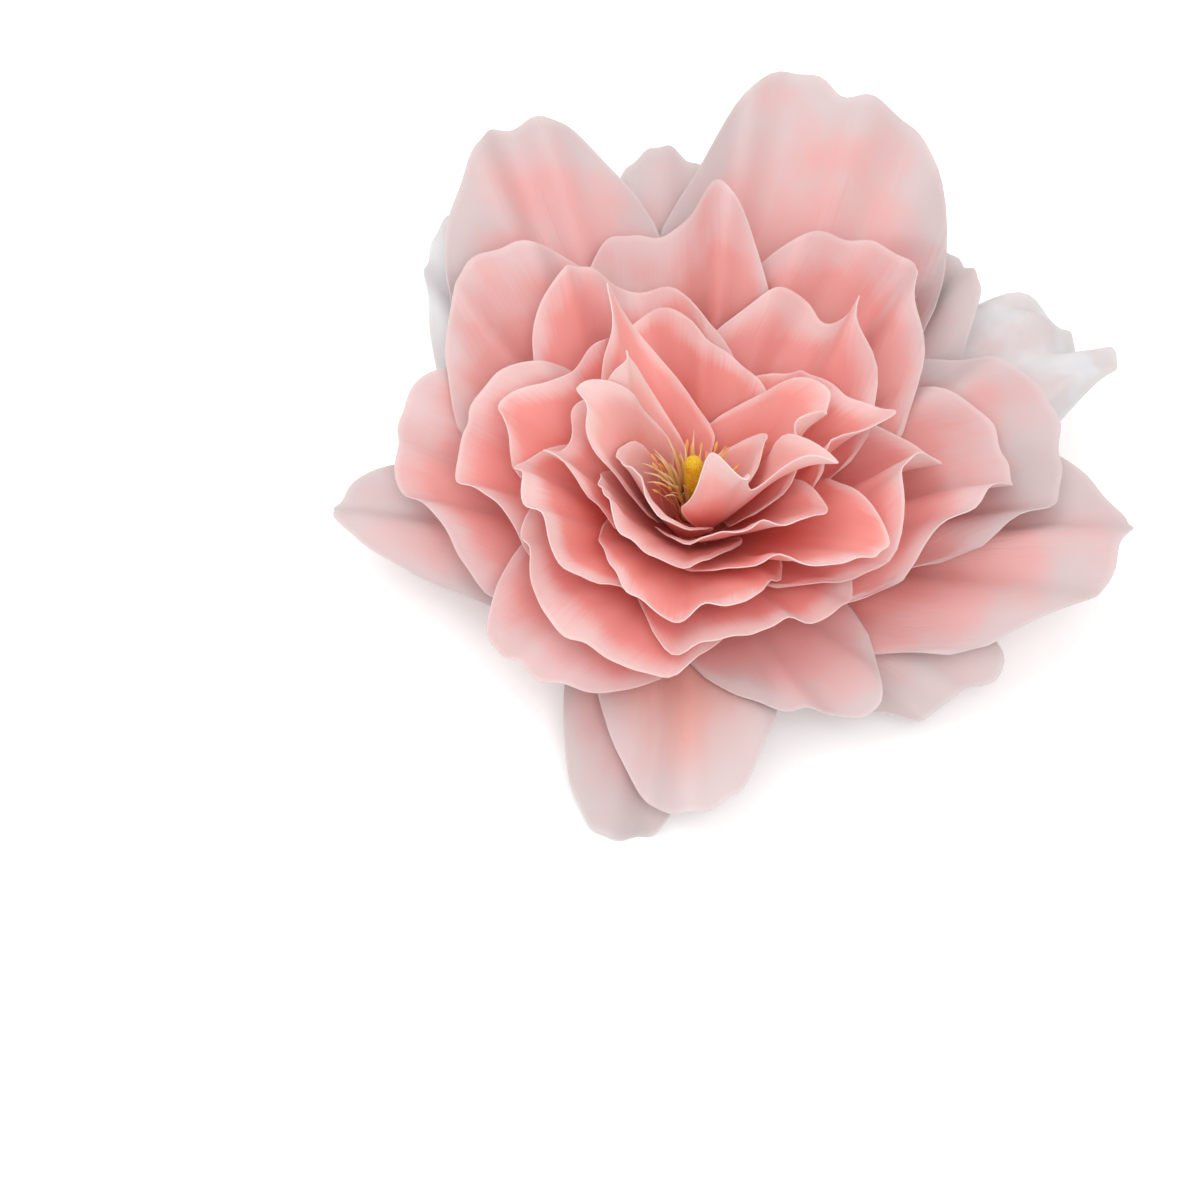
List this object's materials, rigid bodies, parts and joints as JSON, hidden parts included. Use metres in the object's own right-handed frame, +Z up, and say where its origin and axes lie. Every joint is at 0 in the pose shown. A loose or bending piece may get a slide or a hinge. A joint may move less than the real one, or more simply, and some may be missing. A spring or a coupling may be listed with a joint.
{
  "type": "crepe paper peony",
  "caption": "Handmade paper peony head lying face up: nested cupped and ruffled pink petals round a fringed tan and yellow centre, on a short wrapped stem.",
  "frame": {"origin": "middle of the stem's cut end, which stands on the table", "axes": "+Z up through the flower's centre, -Y towards the lower petals, +X to the viewer's right"},
  "size_m": [0.4134, 0.3705, 0.1725],
  "materials": {
    "pink_crepe": "satin",
    "green_crepe": "matte",
    "tan_crepe": "matte",
    "peach_crepe": "matte",
    "yellow_pollen": "matte",
    "white_paper": "matte",
    "florist_wire": "satin"
  },
  "bodies": {
    "root": {"bowl_petal_back": "pink_crepe", "bowl_petal_front": "pink_crepe", "bowl_petal_front_right": "pink_crepe", "bowl_petal_left": "pink_crepe", "bowl_petal_left_back": "pink_crepe", "bowl_petal_right": "pink_crepe", "calyx_band": "green_crepe", "cup_petal_back_left": "pink_crepe", "cup_petal_back_right": "pink_crepe", "cup_petal_front_left": "pink_crepe", "cup_petal_front_right": "pink_crepe", "cup_petal_left": "pink_crepe", "cup_petal_right": "pink_crepe", "guard_petal_front": "pink_crepe", "guard_petal_front_right": "pink_crepe", "guard_petal_right": "pink_crepe", "guard_petal_right_back": "pink_crepe", "guard_petal_top": "pink_crepe", "guard_petal_top_left": "pink_crepe", "heart_petal_back": "pink_crepe", "heart_petal_front_left": "pink_crepe", "heart_petal_front_right": "pink_crepe", "heart_petal_left": "pink_crepe", "heart_petal_right": "pink_crepe", "inner_petal_front_left": "pink_crepe", "inner_petal_front_right": "pink_crepe", "inner_petal_left": "pink_crepe", "inner_petal_point": "pink_crepe", "inner_petal_right": "pink_crepe", "mid_petal_front_left": "pink_crepe", "mid_petal_left": "pink_crepe", "mid_petal_right": "pink_crepe", "mid_petal_top": "pink_crepe", "mid_petal_top_left": "pink_crepe", "mid_petal_top_right": "pink_crepe", "outer_petal_bottom": "pink_crepe", "outer_petal_far_right": "pink_crepe", "outer_petal_left_tip": "pink_crepe", "outer_petal_lower_right": "pink_crepe", "outer_petal_top": "pink_crepe", "outer_petal_upper_left": "pink_crepe", "outer_petal_upper_right": "pink_crepe", "petal_core": "white_paper", "pollen_centre": "yellow_pollen", "sepal_1": "green_crepe", "sepal_2": "green_crepe", "sepal_3": "green_crepe", "sepal_4": "green_crepe", "sepal_5": "green_crepe", "stamen_fringe": "tan_crepe", "stamen_threads": "peach_crepe", "stem_wire": "florist_wire", "stem_wrap": "green_crepe", "under_petal_back": "pink_crepe", "under_petal_left": "pink_crepe", "under_petal_right": "pink_crepe"}
  },
  "joints": []
}
